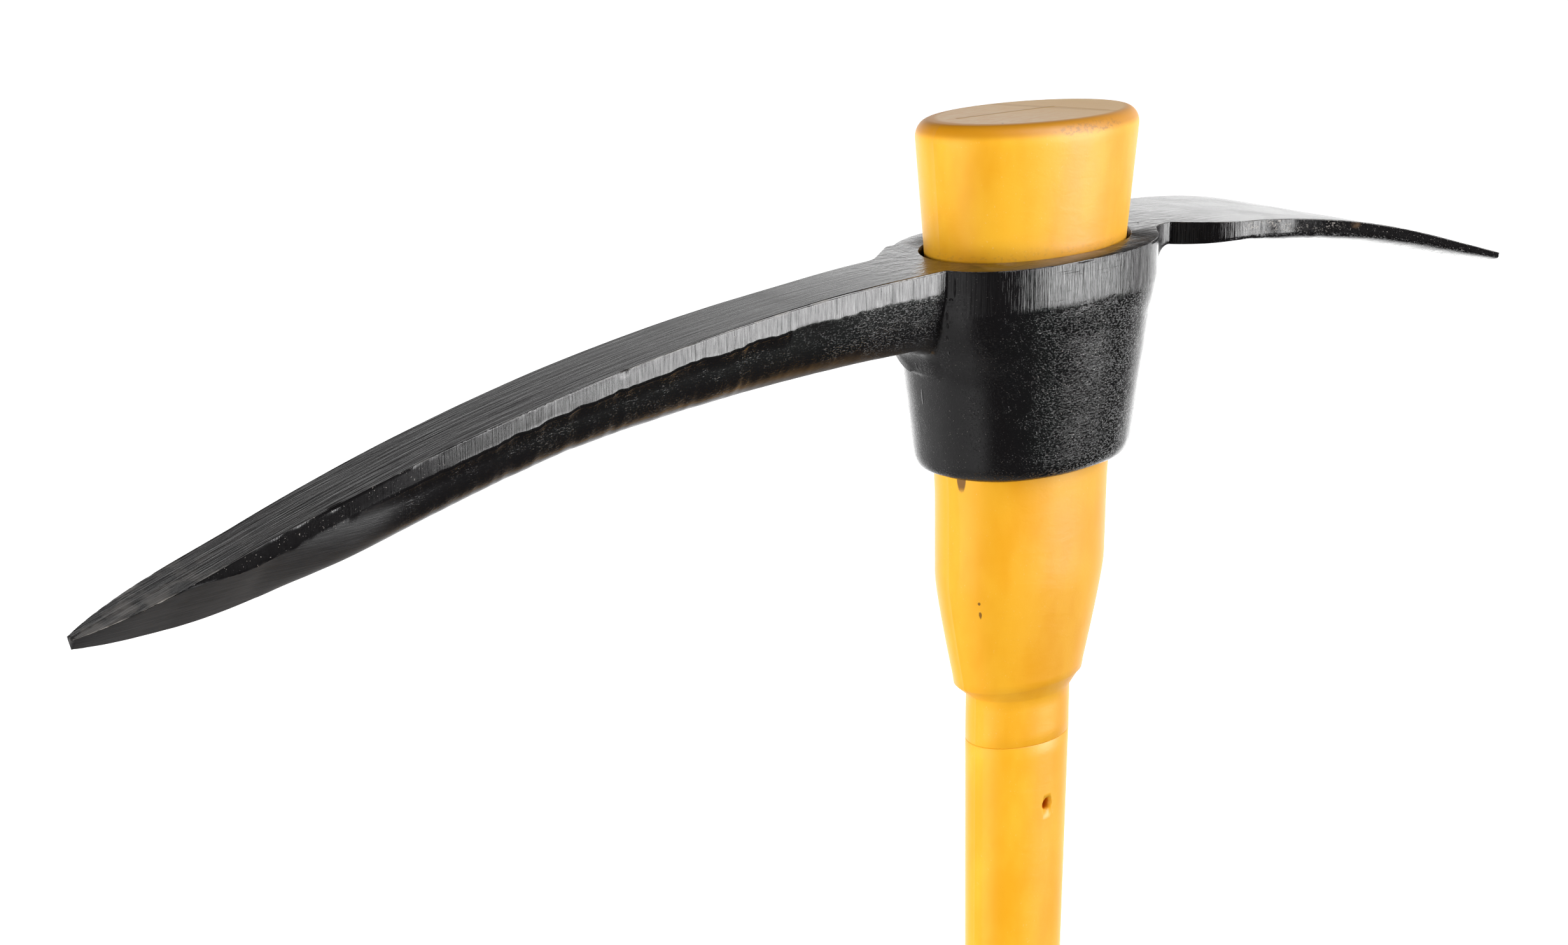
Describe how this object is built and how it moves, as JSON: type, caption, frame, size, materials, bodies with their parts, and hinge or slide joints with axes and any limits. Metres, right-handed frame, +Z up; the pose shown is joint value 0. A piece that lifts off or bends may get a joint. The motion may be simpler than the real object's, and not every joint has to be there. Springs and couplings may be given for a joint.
{
  "type": "pick mattock",
  "caption": "Two-handed digging tool: forged pick and adze head with an oval eye, wedged on the tapered bulb of a straight moulded handle.",
  "frame": {"origin": "middle of the flat end of the handle's butt", "axes": "+Z up along the handle to the head, +X towards the adze blade, -X towards the pick point, Y across the head"},
  "size_m": [0.5331, 0.076, 0.915],
  "materials": {
    "head_enamel": "black gloss enamel over a rough forging, thin along the ground edges",
    "bulb_yellow": "satin yellow moulded polypropylene",
    "jacket_yellow": "satin yellow moulded polypropylene",
    "core_amber": "glass fibre in amber resin",
    "grip_black": "matt black rubber with grooves"
  },
  "bodies": {
    "handle": {"eye_bulb": "bulb_yellow", "handle_jacket": "jacket_yellow", "fibreglass_core": "core_amber", "rubber_grip": "grip_black"},
    "head": {"forged_head": "head_enamel"}
  },
  "joints": [
    {"name": "head_slide", "type": "slide", "parent": "handle", "child": "head", "axis": [0, 0, -1], "range_m": [0, 0.9]}
  ]
}
